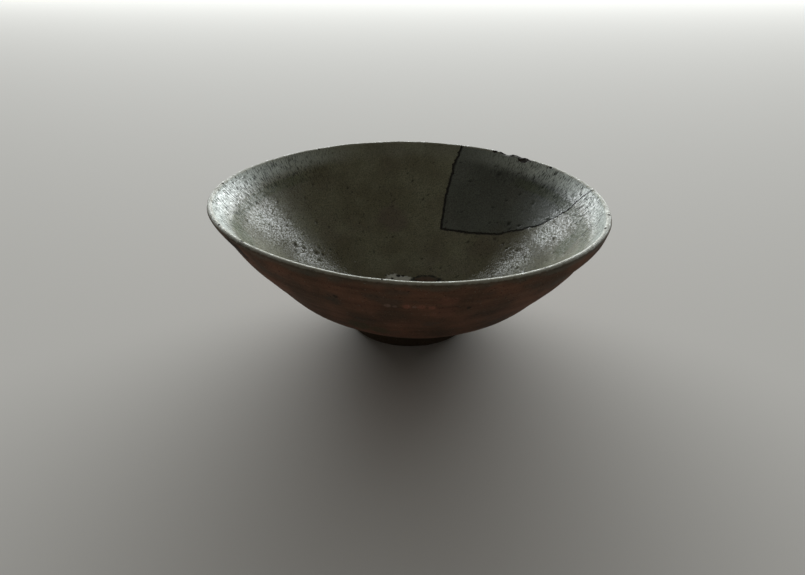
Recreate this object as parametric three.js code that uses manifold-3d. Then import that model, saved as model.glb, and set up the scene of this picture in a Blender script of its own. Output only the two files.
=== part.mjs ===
// A cracked stoneware bowl: thrown on a wheel, warped in the kiln, broken, and mended with one large sherd.
// Millimetres, +Z up. The foot ring stands on z = 0, and the origin is under the middle of the bowl.
// Azimuths are degrees anticlockwise from +X, seen from above. The mended sherd is at the far right.

import * as THREE from "three";
import { mergeVertices } from "three/addons/utils/BufferGeometryUtils.js";
import Module from "manifold-3d";

const wasm = await Module();
wasm.setup();

// The thrown bowl
const RIM_DIAMETER = 165;
const BOWL_HEIGHT = 59.7;
const LIP_THICKNESS = 2.6;
const WALL_THICKNESS_AT_FOOT = 6.2;
const FLOOR_THICKNESS = 6.5;
const WELL_DIAMETER = 78;
// Just below the lip the inside opens out in a band, as wide as this, where the wall loses this much more
const LIP_BAND_WIDTH = 10;
const LIP_BAND_BEVEL = 1.1;

// The foot ring, trimmed out of the same clay
const FOOT_DIAMETER = 56.4;
const FOOT_HEIGHT = 5;
const FOOT_FLARE = 0.8;
const FOOT_RING_WIDTH = 6;
const FOOT_RECESS_DEPTH = 3.6;
const FOOT_EDGE_WEAR = 0.7;

// How full the wall is: share of the way up from the foot, and share of the way out to the rim
const WALL_FULLNESS = [
  [0, 0],
  [0.15, 0.235],
  [0.33, 0.492],
  [0.52, 0.668],
  [0.71, 0.831],
  [0.88, 0.946],
  [1, 1],
];

// How the bowl went out of true. It leans towards +X on its foot, and its rim dips there.
const LEAN_DEGREES = 1.65;
const RIM_DIP = 0.4;
// Waves round the rim: how many, how far in millimetres and the azimuth of a crest
const OUTWARD_WAVES = [
  { count: 2, reach: 1.65, azimuth: 35 },
  { count: 3, reach: 1.45, azimuth: 48 },
];
const UPWARD_WAVES = [
  { count: 2, reach: 0.5, azimuth: 101 },
  { count: 3, reach: 0.42, azimuth: 98 },
];
// The waves die out down the wall as this power of the height
const WAVE_FADE_POWER = 1.5;
// Soft places where the wall was pinched or knocked before firing. Outwards is positive, below is
// measured down from the top of the lip, and the push fades over half a turn and half a height.
const SOFT_PLACES = [
  { azimuth: 212, below: 1.2, push: 0.75, halfTurn: 24, halfHeight: 4 },
  { azimuth: 214, below: 9.7, push: -0.45, halfTurn: 24, halfHeight: 4.5 },
  { azimuth: 334, below: 5.2, push: 0.95, halfTurn: 22, halfHeight: 4.5 },
  { azimuth: 325, below: 12.7, push: -0.6, halfTurn: 20, halfHeight: 4 },
  { azimuth: 330, below: 0, push: 0.4, halfTurn: 24, halfHeight: 3 },
  { azimuth: 185, below: 0, push: 0.8, halfTurn: 22, halfHeight: 4 },
];

// The break: azimuth, and share of the way up the inside of the wall. It runs from the lip down to a
// corner, along the foot of the wall, and back up to the lip.
const BREAK_LINE = [
  [70.6, 1],
  [72.1, 0.81],
  [72.5, 0.58],
  [70.8, 0.358],
  [65, 0.36],
  [53, 0.38],
  [44, 0.415],
  [37.4, 0.452],
  [31.3, 0.507],
  [26.8, 0.55],
  [23, 0.6],
  [19.5, 0.65],
  [16.5, 0.71],
  [14.2, 0.773],
  [12.3, 0.842],
  [11.4, 0.923],
  [9.4, 1],
];
// The break's faces run straight out from a point on the bowl's axis, so that they cross the wall squarely
const BREAK_FOCUS_ABOVE_LIP = 45;
const JOIN_WIDTH = 1.1;
const JOIN_CLEARANCE = 0.3;

// Chips out of the sherd's lip: length along the lip, depth below the top of the lip, and azimuth
const LONG_CHIP_LENGTH = 8.5;
const LONG_CHIP_DEPTH = 1.4;
const MIDDLE_CHIP_LENGTH = 6.5;
const MIDDLE_CHIP_DEPTH = 1;
const SHORT_CHIP_LENGTH = 5;
const SHORT_CHIP_DEPTH = 1.2;
const LIP_CHIPS = [
  { azimuth: 53.2, length: LONG_CHIP_LENGTH, depth: LONG_CHIP_DEPTH },
  { azimuth: 47.6, length: MIDDLE_CHIP_LENGTH, depth: MIDDLE_CHIP_DEPTH },
  { azimuth: 44, length: SHORT_CHIP_LENGTH, depth: SHORT_CHIP_DEPTH },
];

// How finely the turned shape is divided
const SEGMENTS_ROUND = 84;
const OUTER_WALL_STEPS = 13;
const INNER_WALL_STEPS = 10;
const LIP_BAND_STEPS = 2;
const LIP_STEPS = 5;
const WELL_STEPS = 5;
const CHIP_SEGMENTS = 20;
const ARC_LENGTH_DIVISIONS = 800;

// How far past the bowl a cut reaches, as a multiple of the way from its focus to the wall
const CUT_REACH = 3;
// Corners of a mesh that lie closer together than this are one corner
const WELD = 1e-4;

function makeSolid(geometry) {
  const bare = geometry.clone();
  bare.deleteAttribute("normal");
  bare.deleteAttribute("uv");
  const welded = mergeVertices(bare, WELD);
  const corners = welded.index.array;
  const triangles = [];
  for (let i = 0; i < corners.length; i += 3) {
    const [a, b, c] = corners.slice(i, i + 3);
    if (a !== b && b !== c && c !== a) triangles.push(a, b, c);
  }
  return new wasm.Manifold(new wasm.Mesh({
    numProp: 3,
    vertProperties: new Float32Array(welded.attributes.position.array),
    triVerts: new Uint32Array(triangles),
  }));
}

function makeGeometry(solid) {
  const { vertProperties, triVerts } = solid.getMesh();
  const geometry = new THREE.BufferGeometry();
  geometry.setAttribute("position", new THREE.BufferAttribute(new Float32Array(vertProperties), 3));
  geometry.setIndex(new THREE.BufferAttribute(new Uint32Array(triVerts), 1));
  geometry.computeVertexNormals();
  return geometry;
}

// The outside of the wall from the foot's top to the lip, as radius and height
function makeOuterWall() {
  const bottom = new THREE.Vector2(FOOT_DIAMETER / 2 + FOOT_FLARE, FOOT_HEIGHT);
  const top = new THREE.Vector2(RIM_DIAMETER / 2, BOWL_HEIGHT - LIP_THICKNESS / 2);
  const stations = WALL_FULLNESS.map(([up, out]) => new THREE.Vector2(
    THREE.MathUtils.lerp(bottom.x, top.x, out),
    THREE.MathUtils.lerp(bottom.y, top.y, up),
  ));
  const curve = new THREE.SplineCurve(stations);
  curve.arcLengthDivisions = ARC_LENGTH_DIVISIONS;
  return curve;
}

const outerWall = makeOuterWall();

// The direction from the outside of the wall to its inside, at a share of the way up
function inwardAt(share) {
  const along = outerWall.getTangentAt(share);
  return new THREE.Vector2(-along.y, along.x);
}

// The wall thins evenly from the foot up, and faster across the band below the lip
function thicknessAt(share) {
  const belowLip = (1 - share) * outerWall.getLength();
  const intoBand = Math.max(0, 1 - belowLip / LIP_BAND_WIDTH);
  const even = THREE.MathUtils.lerp(WALL_THICKNESS_AT_FOOT, LIP_THICKNESS + LIP_BAND_BEVEL, share);
  return even - LIP_BAND_BEVEL * intoBand;
}

// The inside of the wall lies one wall thickness in from the outside
function innerWallAt(share) {
  return outerWall.getPointAt(share).addScaledVector(inwardAt(share), thicknessAt(share));
}

// The share of the way up the wall at which its inside is as wide as the well, found by halving
function findWellShare() {
  let low = 0;
  let high = 1;
  while (high - low > WELD) {
    const middle = (low + high) / 2;
    if (innerWallAt(middle).x < WELL_DIAMETER / 2) low = middle;
    else high = middle;
  }
  return high;
}

// The section of the foot from the middle of its recess out over the flat that the bowl stands on
function footProfile() {
  const outer = FOOT_DIAMETER / 2;
  const inner = outer - FOOT_RING_WIDTH;
  const wear = FOOT_EDGE_WEAR;
  return [
    new THREE.Vector2(0, FOOT_RECESS_DEPTH),
    new THREE.Vector2(inner - wear, FOOT_RECESS_DEPTH),
    new THREE.Vector2(inner, FOOT_RECESS_DEPTH - wear),
    new THREE.Vector2(inner, wear),
    new THREE.Vector2(inner + wear, 0),
    new THREE.Vector2(outer - wear, 0),
    new THREE.Vector2(outer, wear),
    new THREE.Vector2(outer, FOOT_HEIGHT / 2),
  ];
}

function outerProfile() {
  const points = [];
  for (let i = 0; i <= OUTER_WALL_STEPS; i += 1) {
    points.push(outerWall.getPointAt(i / OUTER_WALL_STEPS));
  }
  return points;
}

// The lip is half round, from the outside over the top to the inside
function lipProfile() {
  const inward = inwardAt(1);
  const upward = outerWall.getTangentAt(1);
  const radius = LIP_THICKNESS / 2;
  const centre = outerWall.getPointAt(1).addScaledVector(inward, radius);
  const points = [];
  for (let i = 1; i < LIP_STEPS; i += 1) {
    const turn = (Math.PI * i) / LIP_STEPS;
    points.push(centre.clone()
      .addScaledVector(inward, -radius * Math.cos(turn))
      .addScaledVector(upward, radius * Math.sin(turn)));
  }
  return points;
}

// The inside from the lip across its band and down the wall, then round the well's curve to the middle
function innerProfile() {
  const wellShare = findWellShare();
  const bandShare = 1 - LIP_BAND_WIDTH / outerWall.getLength();
  const points = [];
  for (let i = 0; i < LIP_BAND_STEPS; i += 1) {
    points.push(innerWallAt(THREE.MathUtils.lerp(1, bandShare, i / LIP_BAND_STEPS)));
  }
  for (let i = 0; i < INNER_WALL_STEPS; i += 1) {
    points.push(innerWallAt(THREE.MathUtils.lerp(bandShare, wellShare, i / INNER_WALL_STEPS)));
  }
  const edge = innerWallAt(wellShare);
  const down = edge.clone().sub(points.at(-1));
  const floorHeight = FOOT_RECESS_DEPTH + FLOOR_THICKNESS;
  const bend = new THREE.Vector2(edge.x + (down.x / down.y) * (floorHeight - edge.y), floorHeight);
  const middle = new THREE.Vector2(0, floorHeight);
  return [...points, ...new THREE.QuadraticBezierCurve(edge, bend, middle).getPoints(WELL_STEPS)];
}

function waveAt(waves, azimuth) {
  const turn = ({ count, azimuth: crest }) => count * (azimuth - THREE.MathUtils.degToRad(crest));
  return waves.reduce((sum, wave) => sum + wave.reach * Math.cos(turn(wave)), 0);
}

function softPushAt(azimuth, height) {
  let push = 0;
  for (const place of SOFT_PLACES) {
    const away = THREE.MathUtils.radToDeg(azimuth) - place.azimuth;
    const turn = THREE.MathUtils.euclideanModulo(away + 180, 360) - 180;
    const rise = height - (BOWL_HEIGHT - place.below);
    push += place.push * Math.exp(-((turn / place.halfTurn) ** 2) - (rise / place.halfHeight) ** 2);
  }
  return push;
}

// Moves a point of the true turned bowl to where it is on the bowl that came out of the kiln
function warpPoint(point) {
  const radius = Math.hypot(point.x, point.y);
  const azimuth = Math.atan2(point.y, point.x);
  const fade = (Math.max(point.z, 0) / BOWL_HEIGHT) ** WAVE_FADE_POWER;
  const spread = fade * (radius / (RIM_DIAMETER / 2));
  const outward = radius + spread * waveAt(OUTWARD_WAVES, azimuth) + softPushAt(azimuth, point.z);
  const upward = point.z + fade * (waveAt(UPWARD_WAVES, azimuth) - RIM_DIP * Math.cos(azimuth));
  const aboveFoot = THREE.MathUtils.clamp(point.z / FOOT_HEIGHT, 0, 1);
  return new THREE.Vector3(outward * Math.cos(azimuth), outward * Math.sin(azimuth), upward)
    .applyAxisAngle(new THREE.Vector3(0, 1, 0), THREE.MathUtils.degToRad(LEAN_DEGREES) * aboveFoot);
}

function makeWholeBowl() {
  const profile = [...footProfile(), ...outerProfile(), ...lipProfile(), ...innerProfile()];
  const geometry = new THREE.LatheGeometry(profile, SEGMENTS_ROUND);
  geometry.rotateX(Math.PI / 2);
  const position = geometry.attributes.position;
  for (let i = 0; i < position.count; i += 1) {
    const moved = warpPoint(new THREE.Vector3().fromBufferAttribute(position, i));
    position.setXYZ(i, moved.x, moved.y, moved.z);
  }
  return makeSolid(geometry);
}

// A point of the warped bowl, by azimuth in degrees, radius and height of the true turned bowl
function bowlPoint(azimuth, radius, height) {
  const turn = THREE.MathUtils.degToRad(azimuth);
  return warpPoint(new THREE.Vector3(radius * Math.cos(turn), radius * Math.sin(turn), height));
}

// The break's line in space, carried on past the lip at both ends so that a cut along it is complete
function breakPoints() {
  const points = BREAK_LINE.map(([azimuth, share]) => {
    const inside = innerWallAt(share);
    return bowlPoint(azimuth, inside.x, inside.y);
  });
  const overrun = BOWL_HEIGHT / 2;
  const carryOn = (end, before) => end.clone().sub(before).setLength(overrun).add(end);
  const first = carryOn(points[0], points[1]);
  const last = carryOn(points.at(-1), points.at(-2));
  return [first, ...points, last];
}

// Shifts each point of the break's line sideways in the wall: away from the sherd is positive
function shiftLine(points, distance, focus) {
  const sideOf = (from, to) => to.clone().sub(from).cross(focus.clone().sub(from)).normalize();
  return points.map((point, i) => {
    const before = i > 0 ? sideOf(points[i - 1], point) : sideOf(point, points[i + 1]);
    const after = i < points.length - 1 ? sideOf(point, points[i + 1]) : before;
    const mitre = before.clone().add(after).divideScalar(1 + before.dot(after));
    return point.clone().addScaledVector(mitre, distance);
  });
}

// The cone of space from the focus out through the sherd's outline, grown sideways by a distance
function makeBreakCone(distance) {
  const focus = new THREE.Vector3(0, 0, BOWL_HEIGHT + BREAK_FOCUS_ABOVE_LIP);
  const rim = shiftLine(breakPoints(), distance, focus)
    .map((point) => point.sub(focus).multiplyScalar(CUT_REACH).add(focus));
  const middle = rim.reduce((sum, point) => sum.add(point), new THREE.Vector3()).divideScalar(rim.length);
  const geometry = new THREE.BufferGeometry().setFromPoints([focus, middle, ...rim]);
  const triangles = [];
  rim.forEach((_, i) => {
    const here = i + 2;
    const next = ((i + 1) % rim.length) + 2;
    triangles.push(0, here, next, 1, next, here);
  });
  geometry.setIndex(triangles);
  return makeSolid(geometry);
}

// A chip is a shallow round bite, as deep and as long as stated, out of the top of the lip
function makeLipChip({ azimuth, length, depth }) {
  const radius = (length ** 2 / 4 + depth ** 2) / (2 * depth);
  const sphere = new THREE.SphereGeometry(radius, CHIP_SEGMENTS, CHIP_SEGMENTS / 2);
  const place = bowlPoint(azimuth, (RIM_DIAMETER - LIP_THICKNESS) / 2, BOWL_HEIGHT);
  sphere.translate(place.x, place.y, place.z + radius - depth);
  return makeSolid(sphere);
}

function makePieces() {
  const wholeBowl = makeWholeBowl();
  const halfJoin = JOIN_WIDTH / 2;
  const halfFiller = halfJoin - JOIN_CLEARANCE;
  const body = wholeBowl.subtract(makeBreakCone(halfJoin));
  const filler = wholeBowl.intersect(makeBreakCone(halfFiller).subtract(makeBreakCone(-halfFiller)));
  let sherd = wholeBowl.intersect(makeBreakCone(-halfJoin));
  for (const chip of LIP_CHIPS) {
    sherd = sherd.subtract(makeLipChip(chip));
  }
  return { body, filler, sherd };
}

const oliveGlaze = new THREE.MeshStandardMaterial({ color: 0x77796a, roughness: 0.55, metalness: 0 });
const greyGlaze = new THREE.MeshStandardMaterial({ color: 0x6d6e68, roughness: 0.6, metalness: 0 });
const darkCement = new THREE.MeshStandardMaterial({ color: 0x1d1a17, roughness: 0.8, metalness: 0 });

function makeNode(name, solid, material) {
  const mesh = new THREE.Mesh(makeGeometry(solid), material);
  mesh.name = name;
  return mesh;
}

function makeCrackedBowl() {
  const { body, filler, sherd } = makePieces();
  const group = new THREE.Group();
  group.add(makeNode("bowl_body", body, oliveGlaze));
  group.add(makeNode("refitted_sherd", sherd, greyGlaze));
  group.add(makeNode("join_filler", filler, darkCement));
  const middle = new THREE.Box3().setFromObject(group).getCenter(new THREE.Vector3());
  group.position.set(-middle.x, -middle.y, 0);
  return group;
}

export default makeCrackedBowl();
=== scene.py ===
# %% [markdown]
# # A cracked stoneware bowl
# The bowl was thrown on a wheel, dipped in a thin ash glaze, stacked in a kiln and warped by the fire.
# Much later a sherd of its wall broke out, and somebody set it back with dark cement.
# Everything here is built around the measured solids of that bowl, which load as a fixed frame: the body,
# the sherd and the thin line of cement between them. Lengths are in metres, and +Z is up.

# %% The frame
import math
import bmesh
import bpy
import numpy as np
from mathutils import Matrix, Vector, noise
from mathutils.kdtree import KDTree


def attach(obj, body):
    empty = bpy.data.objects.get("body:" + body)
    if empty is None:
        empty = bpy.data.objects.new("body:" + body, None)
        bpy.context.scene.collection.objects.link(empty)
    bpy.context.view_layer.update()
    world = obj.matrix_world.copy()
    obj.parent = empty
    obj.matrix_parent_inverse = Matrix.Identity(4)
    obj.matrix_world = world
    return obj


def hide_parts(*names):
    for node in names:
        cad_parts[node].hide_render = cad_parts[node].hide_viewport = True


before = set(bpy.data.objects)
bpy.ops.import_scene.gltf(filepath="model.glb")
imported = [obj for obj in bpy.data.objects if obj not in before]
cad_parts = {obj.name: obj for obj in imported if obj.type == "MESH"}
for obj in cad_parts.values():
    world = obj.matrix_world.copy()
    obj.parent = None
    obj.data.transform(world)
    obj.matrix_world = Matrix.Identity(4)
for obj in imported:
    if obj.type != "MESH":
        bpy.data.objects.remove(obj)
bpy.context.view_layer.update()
print("the measured pieces are", ", ".join(sorted(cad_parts)))

# %% [markdown]
# ## The section of the bowl
# A turned bowl is one section swept round an axis, so the section comes first. Its sizes are the ones that
# the solids were made from. The outside of the wall is a smooth curve through a few stations, and the
# inside lies one wall thickness in from it. Near the lip the wall thins faster, which opens the mouth in a
# pale band.

# %% The sizes of the bowl
MM = 0.001
RIM_DIAMETER = 165 * MM
BOWL_HEIGHT = 59.7 * MM
LIP_THICKNESS = 2.6 * MM
WALL_THICKNESS_AT_FOOT = 6.2 * MM
FLOOR_THICKNESS = 6.5 * MM
WELL_DIAMETER = 78 * MM
LIP_BAND_WIDTH = 10 * MM
LIP_BAND_BEVEL = 1.1 * MM
FOOT_DIAMETER = 56.4 * MM
FOOT_HEIGHT = 5 * MM
FOOT_FLARE = 0.8 * MM
FOOT_RING_WIDTH = 6 * MM
FOOT_RECESS_DEPTH = 3.6 * MM
FOOT_EDGE_WEAR = 0.7 * MM
# Share of the way up from the foot, and share of the way out to the rim
WALL_FULLNESS = np.array([(0, 0), (0.15, 0.235), (0.33, 0.492), (0.52, 0.668), (0.71, 0.831),
                          (0.88, 0.946), (1, 1)])
CURVE_SAMPLES = 2000


def run_along(points):
    """How far along a line each of its points lies."""
    return np.concatenate([[0], np.cumsum(np.linalg.norm(np.diff(points, axis=0), axis=1))])


def smooth_through(points, samples):
    """A curve through the points that leaves each one in the direction from the last to the next."""
    padded = np.vstack([points[:1], points, points[-1:]])
    place = np.linspace(0, len(points) - 1, samples)
    first = np.minimum(place.astype(int), len(points) - 2)
    t = (place - first)[:, None]
    before, start, end, after = (padded[first + k] for k in range(4))
    leave, arrive = (end - before) / 2, (after - start) / 2
    return ((2 * start - 2 * end + leave + arrive) * t ** 3
            + (3 * end - 3 * start - 2 * leave - arrive) * t ** 2 + leave * t + start)


wall_foot = np.array([FOOT_DIAMETER / 2 + FOOT_FLARE, FOOT_HEIGHT])
wall_top = np.array([RIM_DIAMETER / 2, BOWL_HEIGHT - LIP_THICKNESS / 2])
stations = wall_foot + (wall_top - wall_foot) * WALL_FULLNESS[:, ::-1]
outer_curve = smooth_through(stations, CURVE_SAMPLES)
outer_run = run_along(outer_curve)
WALL_LENGTH = outer_run[-1]
print("the wall is", round(WALL_LENGTH * 1000, 1), "mm from foot to lip along its outside")

# %% The outside and the inside of the wall


def outer_at(share):
    """The outside of the wall, as radius and height, at a share of the way up it."""
    run = np.atleast_1d(share) * WALL_LENGTH
    return np.stack([np.interp(run, outer_run, outer_curve[:, k]) for k in range(2)], axis=-1)


def upward_at(share):
    """The direction up the wall at a share of the way up."""
    step = 1e-3
    along = outer_at(np.minimum(share + step, 1)) - outer_at(np.maximum(share - step, 0))
    return along / np.linalg.norm(along, axis=-1, keepdims=True)


def inner_at(share):
    """The inside of the wall at a share of the way up, one wall thickness in from the outside."""
    share = np.atleast_1d(share)
    into_band = np.clip(1 - (1 - share) * WALL_LENGTH / LIP_BAND_WIDTH, 0, 1)
    even = WALL_THICKNESS_AT_FOOT + (LIP_THICKNESS + LIP_BAND_BEVEL - WALL_THICKNESS_AT_FOOT) * share
    along = upward_at(share)
    inward = np.stack([-along[:, 1], along[:, 0]], axis=-1)
    return outer_at(share) + inward * (even - LIP_BAND_BEVEL * into_band)[:, None]


shares = np.linspace(0, 1, CURVE_SAMPLES)
inner_curve = inner_at(shares)
WELL_SHARE = float(np.interp(WELL_DIAMETER / 2, inner_curve[:, 0], shares))
print("the wall meets the well at", round(WELL_SHARE, 3), "of the way up")

# %% The foot ring
RECESS_SPACING, RING_SPACING, FOOT_SIDE_SPACING = 2 * MM, 0.9 * MM, 0.7 * MM
FOOT_BEND_SAMPLES = 6


def spaced(points, spacing):
    """The same line with its points a given distance apart."""
    points = np.asarray(points, float)
    run = run_along(points)
    steps = np.linspace(0, run[-1], round(run[-1] / spacing) + 1)
    return np.stack([np.interp(steps, run, values) for values in points.T], axis=-1)


def bend(start, corner, end, samples=FOOT_BEND_SAMPLES):
    """A rounded corner from start to end, whose sides would meet at the corner."""
    t = np.linspace(0, 1, samples)[:, None]
    start, corner, end = (np.asarray(p, float) for p in (start, corner, end))
    return (1 - t) ** 2 * start + 2 * t * (1 - t) * corner + t ** 2 * end


def foot_line():
    """From the middle of the recess under the bowl, round the foot ring, to the bottom of the wall."""
    outer = FOOT_DIAMETER / 2
    inner = outer - FOOT_RING_WIDTH
    wear = FOOT_EDGE_WEAR
    top = FOOT_RECESS_DEPTH
    return np.vstack([
        [[0, top]],
        spaced([[RECESS_SPACING, top], [inner - 2 * wear, top]], RECESS_SPACING),
        bend((inner - 1.5 * wear, top), (inner, top), (inner, top - 1.5 * wear)),
        bend((inner, 1.2 * wear), (inner, 0), (inner + 1.2 * wear, 0)),
        spaced([[inner + 2 * wear, 0], [outer - 2 * wear, 0]], RING_SPACING),
        bend((outer - 1.2 * wear, 0), (outer, 0), (outer, 1.2 * wear)),
        spaced([[outer, 2 * wear], [outer, FOOT_HEIGHT * 0.6]], FOOT_SIDE_SPACING),
        bend((outer, FOOT_HEIGHT * 0.75), (outer + 0.1 * FOOT_FLARE, FOOT_HEIGHT * 0.95), wall_foot)[:-1],
    ])


print("the foot ring takes", len(foot_line()), "points")

# %% The lip and the well
LIP_SAMPLES, WELL_SAMPLES = 12, 400


def lip_line():
    """Half round over the top of the lip, from the outside to the inside."""
    up = upward_at(np.array([1.0]))[0]
    inward = np.array([-up[1], up[0]])
    radius = LIP_THICKNESS / 2
    turn = np.linspace(0, np.pi, LIP_SAMPLES)[1:-1, None]
    return outer_at(1.0)[0] + inward * radius * (1 - np.cos(turn)) + up * radius * np.sin(turn)


def well_line():
    """From the bottom of the inside of the wall round to the middle of the floor."""
    edge = inner_at(WELL_SHARE)[0]
    down = edge - inner_at(WELL_SHARE + 0.03)[0]
    floor = FOOT_RECESS_DEPTH + FLOOR_THICKNESS
    corner = [edge[0] + down[0] / down[1] * (floor - edge[1]), floor]
    return bend(edge, corner, (0, floor), WELL_SAMPLES)


print("the lip takes", len(lip_line()), "points")

# %% The whole section as one line
OUTER_SPACING, INNER_SPACING, FLOOR_SPACING = 1.5 * MM, 0.84 * MM, 1.25 * MM
# The floor has closer points where things were stacked on it
STACKED_INSIDE, STACKED_OUTSIDE, STACKED_SPACING = 9 * MM, 21 * MM, 0.6 * MM
outer_line = spaced(outer_at(shares), OUTER_SPACING)
inner_line = spaced(inner_at(np.linspace(1, WELL_SHARE, 600)), INNER_SPACING)
floor_line = spaced(well_line(), FLOOR_SPACING)[1:]
from_middle = floor_line[:, 0]
stacked = floor_line[(from_middle > STACKED_INSIDE) & (from_middle < STACKED_OUTSIDE)]
floor_line = np.vstack([floor_line[from_middle >= STACKED_OUTSIDE], spaced(stacked, STACKED_SPACING),
                        floor_line[from_middle <= STACKED_INSIDE]])
section = np.vstack([foot_line(), outer_line, lip_line(), inner_line, floor_line])
is_inside = np.zeros(len(section))
is_inside[-(len(inner_line) + len(floor_line)):] = 1
section_run = run_along(section)
print("the section has", len(section), "points over", round(section_run[-1] * 1000), "mm")

# %% [markdown]
# ## How the fire warped it
# A potter turns a true round, and the kiln doesn't leave it so. The bowl leans on its foot, its rim waves in
# and out and up and down, and in a few soft places the wall was pinched or knocked. All of that is one
# function from the turned bowl to the fired one, so that every mark can be placed on the true shape first.

# %% The warp
LEAN_DEGREES = 1.65
RIM_DIP = 0.4 * MM
WAVE_FADE_POWER = 1.5
# How many waves round the rim, how far, and the azimuth of a crest in degrees
OUTWARD_WAVES = [(2, 1.65 * MM, 35), (3, 1.45 * MM, 48)]
UPWARD_WAVES = [(2, 0.5 * MM, 101), (3, 0.42 * MM, 98)]
# Azimuth, height below the lip, push outwards, half turn and half height of each soft place
SOFT_PLACES = [
    (212, 1.2 * MM, 0.75 * MM, 24, 4 * MM),
    (214, 9.7 * MM, -0.45 * MM, 24, 4.5 * MM),
    (334, 5.2 * MM, 0.95 * MM, 22, 4.5 * MM),
    (325, 12.7 * MM, -0.6 * MM, 20, 4 * MM),
    (330, 0, 0.4 * MM, 24, 3 * MM),
    (185, 0, 0.8 * MM, 22, 4 * MM),
]


def waves(list_of_waves, azimuth):
    return sum(reach * np.cos(count * (azimuth - np.radians(crest))) for count, reach, crest in list_of_waves)


def soft_push(azimuth, height):
    push = 0
    for crest, below, reach, half_turn, half_height in SOFT_PLACES:
        turn = (np.degrees(azimuth) - crest + 180) % 360 - 180
        rise = height - (BOWL_HEIGHT - below)
        push = push + reach * np.exp(-(turn / half_turn) ** 2 - (rise / half_height) ** 2)
    return push


def fire(points):
    """Moves points of the true turned bowl to where the kiln left them."""
    x, y, z = np.asarray(points, float).T
    radius, azimuth = np.hypot(x, y), np.arctan2(y, x)
    fade = (np.maximum(z, 0) / BOWL_HEIGHT) ** WAVE_FADE_POWER
    outward = (radius + fade * radius / (RIM_DIAMETER / 2) * waves(OUTWARD_WAVES, azimuth)
               + soft_push(azimuth, z))
    upward = z + fade * (waves(UPWARD_WAVES, azimuth) - RIM_DIP * np.cos(azimuth))
    lean = np.radians(LEAN_DEGREES) * np.clip(z / FOOT_HEIGHT, 0, 1)
    ahead = outward * np.cos(azimuth)
    return np.stack([ahead * np.cos(lean) + upward * np.sin(lean), outward * np.sin(azimuth),
                     upward * np.cos(lean) - ahead * np.sin(lean)], axis=-1)


def turned(azimuth, radius, height):
    """Points of the true bowl from azimuths in degrees, radii and heights."""
    turn = np.radians(azimuth)
    return np.stack(np.broadcast_arrays(radius * np.cos(turn), radius * np.sin(turn), height), axis=-1)


def spread_of(points):
    return points.min(axis=0), points.max(axis=0)


rim_low, rim_high = spread_of(fire(np.vstack([turned(azimuth, *lip_line().T) for azimuth in range(360)])))
to_frame = np.array([*-(rim_low + rim_high)[:2] / 2, 0])
print("the fired rim spans", (rim_high - rim_low).round(4), "and moves by", to_frame.round(5))

# %% [markdown]
# ## Trees of nodes
# Rules such as "sweep this section round" or "scatter pits here" are Geometry Nodes. A few short helpers keep
# the trees readable: one adds a node with its inputs, one starts a tree with named inputs, and one runs a
# tree and turns the result into a plain mesh.

# %% Helpers for nodes


def add(tree, kind, inputs=(), **settings):
    """Adds a node with its settings. An input is a value or the output of another node."""
    node = tree.nodes.new(kind)
    for name, value in settings.items():
        setattr(node, name, value)
    for key, value in dict(inputs).items():
        if isinstance(value, bpy.types.NodeSocket):
            tree.links.new(value, node.inputs[key])
        else:
            node.inputs[key].default_value = value
    return node


def calculate(tree, operation, *values):
    node = add(tree, "ShaderNodeMath", enumerate(values), operation=operation)
    return node.outputs[0]


def calculate_vector(tree, operation, *values):
    node = add(tree, "ShaderNodeVectorMath", enumerate(values), operation=operation)
    return node.outputs[0]


def scale_vector(tree, vector, amount):
    """A vector, or a colour, times a number."""
    return add(tree, "ShaderNodeVectorMath", {0: vector, "Scale": amount}, operation="SCALE").outputs[0]


def between(tree, value, low, high, to_low=0.0, to_high=1.0, smooth=True):
    """Fades from one value to another as the input goes from low to high."""
    kind = "SMOOTHSTEP" if smooth else "LINEAR"
    node = add(tree, "ShaderNodeMapRange", enumerate((value, low, high, to_low, to_high)),
               interpolation_type=kind)
    return node.outputs[0]


print("nodes can be added and joined")

# %% Helpers for trees and objects


def start_tree(name, inputs, output=("Geometry", "Geometry"), tree_kind="GeometryNodeTree"):
    """A tree with named inputs and one output, each a name and a kind of socket."""
    tree = bpy.data.node_groups.new(name, tree_kind)
    for title, kind in inputs:
        tree.interface.new_socket(title, in_out="INPUT", socket_type="NodeSocket" + kind)
    tree.interface.new_socket(output[0], in_out="OUTPUT", socket_type="NodeSocket" + output[1])
    return tree, add(tree, "NodeGroupInput").outputs


def end_tree(tree, geometry, material):
    """Every geometry tree ends with its instances made real and its material set."""
    real = add(tree, "GeometryNodeRealizeInstances", {0: geometry}).outputs[0]
    painted = add(tree, "GeometryNodeSetMaterial", {"Geometry": real, "Material": material}).outputs[0]
    add(tree, "NodeGroupOutput", {0: painted})


def mesh_made_by(base):
    """The plain mesh that an object's modifiers make."""
    graph = bpy.context.evaluated_depsgraph_get()
    return bpy.data.meshes.new_from_object(base.evaluated_get(graph), preserve_all_data_layers=True,
                                           depsgraph=graph)


def run_tree(tree, base, name, **settings):
    """Runs a tree on an object with its inputs set, and makes a new object of the plain mesh."""
    modifier = base.modifiers.new(tree.name, "NODES")
    modifier.node_group = tree
    for item in tree.interface.items_tree:
        key = item.name.lower().replace(" ", "_")
        if item.in_out == "INPUT" and key in settings:
            modifier[item.identifier] = settings.pop(key)
    if settings:
        raise ValueError(f"{tree.name} has no input for {sorted(settings)}")
    mesh = mesh_made_by(base)
    base.modifiers.remove(modifier)
    mesh.name = name
    return show(mesh)


def show(mesh):
    """Puts a mesh in the scene as an object of the same name, at the origin."""
    made = bpy.data.objects.new(mesh.name, mesh)
    bpy.context.scene.collection.objects.link(made)
    return made


print("trees can be started, ended and run")

# %% Helpers for meshes


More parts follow.
